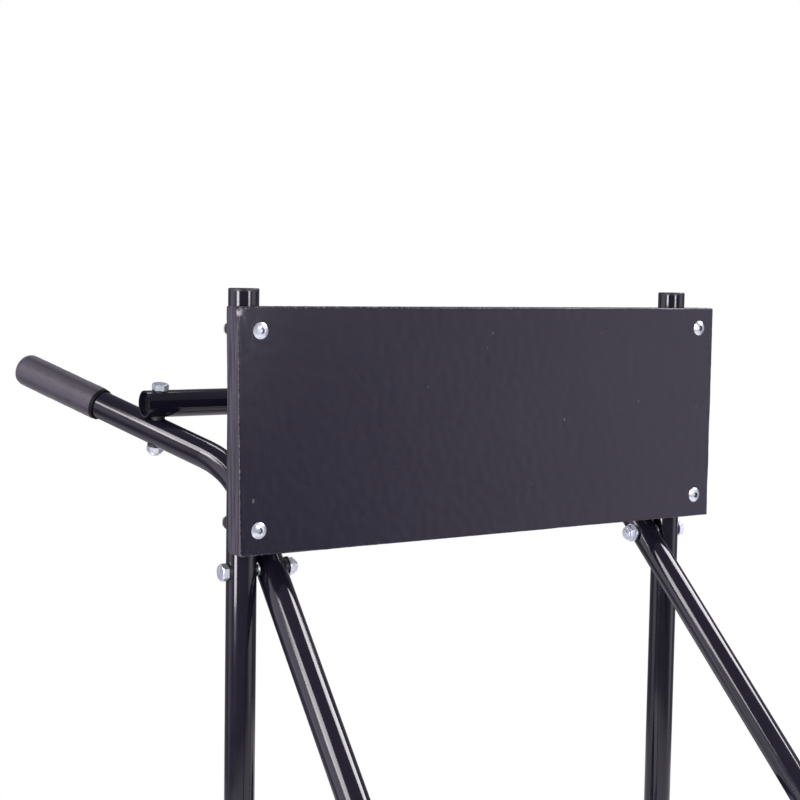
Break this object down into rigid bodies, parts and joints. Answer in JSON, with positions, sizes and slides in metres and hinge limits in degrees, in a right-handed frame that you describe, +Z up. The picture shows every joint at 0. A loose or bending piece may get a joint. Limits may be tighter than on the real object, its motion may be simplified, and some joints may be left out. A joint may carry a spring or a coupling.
{
  "type": "outboard motor stand cart",
  "caption": "Two-wheeled tube stand with a wooden clamp board between two uprights, and splayed legs that bend back into handles with grips.",
  "frame": {"origin": "middle of the footprint, on the floor under the stand", "axes": "+X to the right for someone facing the board's clamp side, which looks along -Y, +Y to the handles behind it, +Z up"},
  "size_m": [0.68, 0.8556, 0.7987],
  "materials": {
    "board_paint": "satin black paint over plywood",
    "frame_paint": "gloss black powder coat",
    "zinc": "bright zinc plate",
    "saddle_plastic": "matt black",
    "cap_plastic": "satin black",
    "grip_foam": "matt foam rubber",
    "foot_rubber": "matt rubber",
    "tyre_rubber": "matt rubber",
    "air_tube_rubber": "matt rubber",
    "rim_paint": "silver-grey paint",
    "bearing_steel": "ground steel"
  },
  "bodies": {
    "frame": {"axle": "zinc", "axle_spacers": "zinc", "axle_split_pins": "zinc", "axle_washers": "zinc", "board_lock_nuts": "zinc", "board_saddle_washers": "saddle_plastic", "board_screws": "zinc", "front_cross_bolts": "zinc", "front_cross_lock_nuts": "zinc", "front_cross_plugs": "cap_plastic", "front_cross_saddle_washers": "saddle_plastic", "front_cross_tube": "frame_paint", "handle_cross_bolts": "zinc", "handle_cross_lock_nuts": "zinc", "handle_cross_plugs": "cap_plastic", "handle_cross_saddle_washers": "saddle_plastic", "handle_cross_spacers": "saddle_plastic", "handle_cross_tube": "frame_paint", "left_foot": "foot_rubber", "left_grip": "grip_foam", "left_leg_and_handle": "frame_paint", "left_side_rail": "frame_paint", "left_upright": "frame_paint", "leg_bolts": "zinc", "leg_lock_nuts": "zinc", "leg_saddle_washers": "saddle_plastic", "leg_washers": "zinc", "mounting_board": "board_paint", "rail_bolts": "zinc", "rail_lock_nuts": "zinc", "rail_saddle_washers": "saddle_plastic", "rear_cross_bolts": "zinc", "rear_cross_lock_nuts": "zinc", "rear_cross_plugs": "cap_plastic", "rear_cross_saddle_washers": "saddle_plastic", "rear_cross_tube": "frame_paint", "right_foot": "foot_rubber", "right_grip": "grip_foam", "right_leg_and_handle": "frame_paint", "right_side_rail": "frame_paint", "right_upright": "frame_paint", "upright_bottom_caps": "cap_plastic", "upright_top_caps": "cap_plastic"},
    "left_wheel": {"left_tyre": "tyre_rubber", "left_inner_tube": "air_tube_rubber", "left_outer_rim_half": "rim_paint", "left_inner_rim_half": "rim_paint", "left_hub": "rim_paint", "left_bearings": "bearing_steel", "left_rim_bolts": "zinc", "left_rim_nuts": "zinc"},
    "right_wheel": {"right_tyre": "tyre_rubber", "right_inner_tube": "air_tube_rubber", "right_outer_rim_half": "rim_paint", "right_inner_rim_half": "rim_paint", "right_hub": "rim_paint", "right_bearings": "bearing_steel", "right_rim_bolts": "zinc", "right_rim_nuts": "zinc"}
  },
  "joints": [
    {"name": "left_wheel_spin", "type": "hinge", "parent": "frame", "child": "left_wheel", "pos_m": [-0.2925, 0.14756, 0.127], "axis": [1, 0, 0], "continuous": true},
    {"name": "right_wheel_spin", "type": "hinge", "parent": "frame", "child": "right_wheel", "pos_m": [0.2925, 0.14756, 0.127], "axis": [1, 0, 0], "continuous": true}
  ]
}
